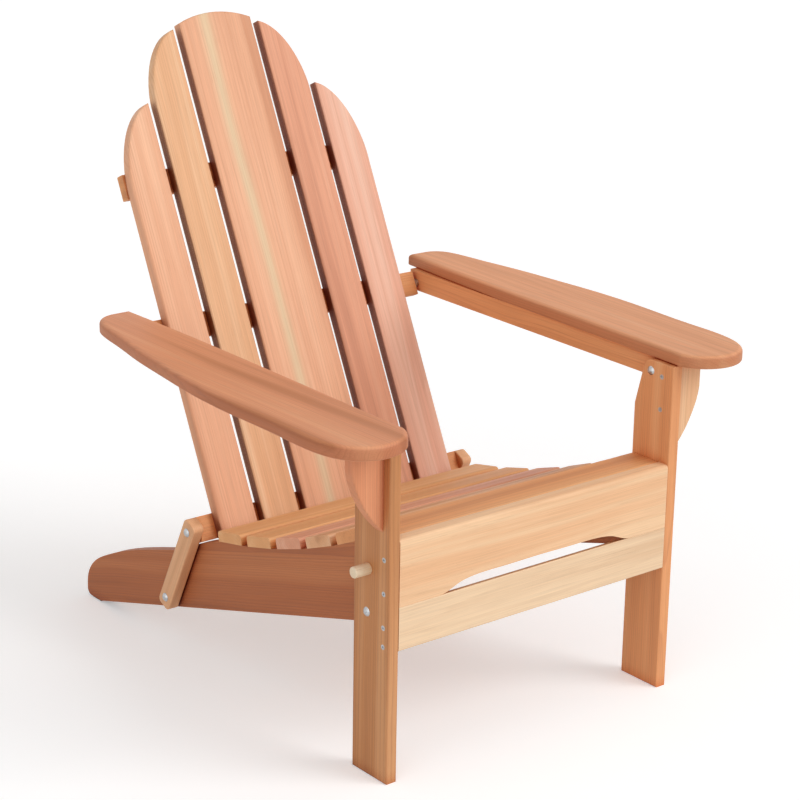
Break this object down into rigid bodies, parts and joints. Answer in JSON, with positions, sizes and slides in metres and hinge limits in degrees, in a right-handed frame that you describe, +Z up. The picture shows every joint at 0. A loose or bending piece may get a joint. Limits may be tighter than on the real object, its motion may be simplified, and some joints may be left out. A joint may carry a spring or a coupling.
{
  "type": "adirondack chair",
  "caption": "Folding wooden adirondack chair with fanned slat back, sloping slatted seat, broad flat arms, bracketed front legs and pull-out locking pegs.",
  "frame": {"origin": "on the floor, under the centre of the chair's overall box as it stands open", "axes": "+Z up; +Y towards the rear, where the back leans; +X towards the sitter's left, square to the chair's plane of symmetry"},
  "size_m": [0.908, 1.0272, 1.0843],
  "materials": {
    "cedar_back_slats": "planed, light salmon cedar with brown growth lines",
    "cedar_seat_slats": "planed, rounded upper edges",
    "cedar_arms": "planed, mid orange-brown",
    "cedar_rails": "planed",
    "cedar_stringers": "planed, red-brown heartwood",
    "cedar_legs": "planed",
    "cedar_front_boards": "planed, pale tan with streaks",
    "dowel": "smooth turned dowel",
    "zinc_hardware": "zinc plated",
    "rubber_pad": "matt black"
  },
  "bodies": {
    "seat_frame": {"stringer_left": "cedar_stringers", "stringer_right": "cedar_stringers", "seat_slat_1": "cedar_seat_slats", "seat_slat_2": "cedar_seat_slats", "seat_slat_3": "cedar_seat_slats", "seat_slat_4": "cedar_seat_slats", "seat_slat_5": "cedar_seat_slats", "seat_slat_6": "cedar_seat_slats", "seat_slat_screws": "zinc_hardware", "foot_pad_left": "rubber_pad", "foot_pad_right": "rubber_pad", "link_foot_bolts": "zinc_hardware", "link_foot_nuts": "zinc_hardware", "link_foot_washers": "zinc_hardware"},
    "front_frame": {"leg_left": "cedar_legs", "leg_right": "cedar_legs", "apron": "cedar_front_boards", "lower_rail": "cedar_front_boards", "corbel_left": "cedar_legs", "corbel_right": "cedar_legs", "corbel_screws_left": "zinc_hardware", "corbel_screws_right": "zinc_hardware", "frame_screws_left": "zinc_hardware", "frame_screws_right": "zinc_hardware", "leg_pivot_bolts": "zinc_hardware", "leg_pivot_nuts": "zinc_hardware", "leg_pivot_washers": "zinc_hardware", "arm_pivot_bolts": "zinc_hardware", "arm_pivot_nuts": "zinc_hardware", "arm_pivot_washers": "zinc_hardware"},
    "arm_left_body": {"arm_board_left": "cedar_arms", "arm_rail_left": "cedar_rails", "arm_screws_left": "zinc_hardware", "back_pivot_bolt_left": "zinc_hardware", "back_pivot_spacer_left": "zinc_hardware"},
    "arm_right_body": {"arm_board_right": "cedar_arms", "arm_rail_right": "cedar_rails", "arm_screws_right": "zinc_hardware", "back_pivot_bolt_right": "zinc_hardware", "back_pivot_spacer_right": "zinc_hardware"},
    "link_left_body": {"link_left": "cedar_rails"},
    "link_right_body": {"link_right": "cedar_rails"},
    "back_panel": {"back_slat_1": "cedar_back_slats", "back_slat_2": "cedar_back_slats", "back_slat_3": "cedar_back_slats", "back_slat_4": "cedar_back_slats", "back_slat_5": "cedar_back_slats", "back_rail_top": "cedar_rails", "back_rail_middle": "cedar_rails", "back_rail_bottom": "cedar_rails", "back_screws": "zinc_hardware", "link_head_bolts": "zinc_hardware"},
    "peg_left_body": {"peg_left": "dowel"},
    "peg_right_body": {"peg_right": "dowel"}
  },
  "joints": [
    {"name": "frame_fold", "type": "hinge", "parent": "seat_frame", "child": "front_frame", "pos_m": [0, -0.38227, 0.2825], "axis": [1, 0, 0], "range_deg": [0, 73]},
    {"name": "arm_left_fold", "type": "hinge", "parent": "front_frame", "child": "arm_left_body", "pos_m": [0, -0.38427, 0.5705], "axis": [1, 0, 0], "range_deg": [-76, 0]},
    {"name": "arm_right_fold", "type": "hinge", "parent": "front_frame", "child": "arm_right_body", "pos_m": [0, -0.38427, 0.5705], "axis": [1, 0, 0], "range_deg": [-76, 0]},
    {"name": "link_left_swing", "type": "hinge", "parent": "seat_frame", "child": "link_left_body", "pos_m": [0, 0.19773, 0.1078], "axis": [1, 0, 0], "range_deg": [-81.01, 0]},
    {"name": "link_right_swing", "type": "hinge", "parent": "seat_frame", "child": "link_right_body", "pos_m": [0, 0.19773, 0.1078], "axis": [1, 0, 0], "range_deg": [-81.01, 0]},
    {"name": "back_fold", "type": "hinge", "parent": "link_left_body", "child": "back_panel", "pos_m": [0, 0.12558, 0.25405], "axis": [1, 0, 0], "range_deg": [0, 175.3]},
    {"name": "peg_left_pull", "type": "slide", "parent": "front_frame", "child": "peg_left_body", "axis": [1, 0, 0], "range_m": [0, 0.045]},
    {"name": "peg_right_pull", "type": "slide", "parent": "front_frame", "child": "peg_right_body", "axis": [-1, 0, 0], "range_m": [0, 0.045]}
  ],
  "couplings": [
    {"joint": "arm_left_fold", "follows": "frame_fold", "ratio": -1.0411},
    {"joint": "arm_right_fold", "follows": "frame_fold", "ratio": -1.0411},
    {"joint": "link_left_swing", "follows": "frame_fold", "ratio": -1.1096},
    {"joint": "link_right_swing", "follows": "frame_fold", "ratio": -1.1096},
    {"joint": "back_fold", "follows": "frame_fold", "ratio": 2.4002}
  ]
}
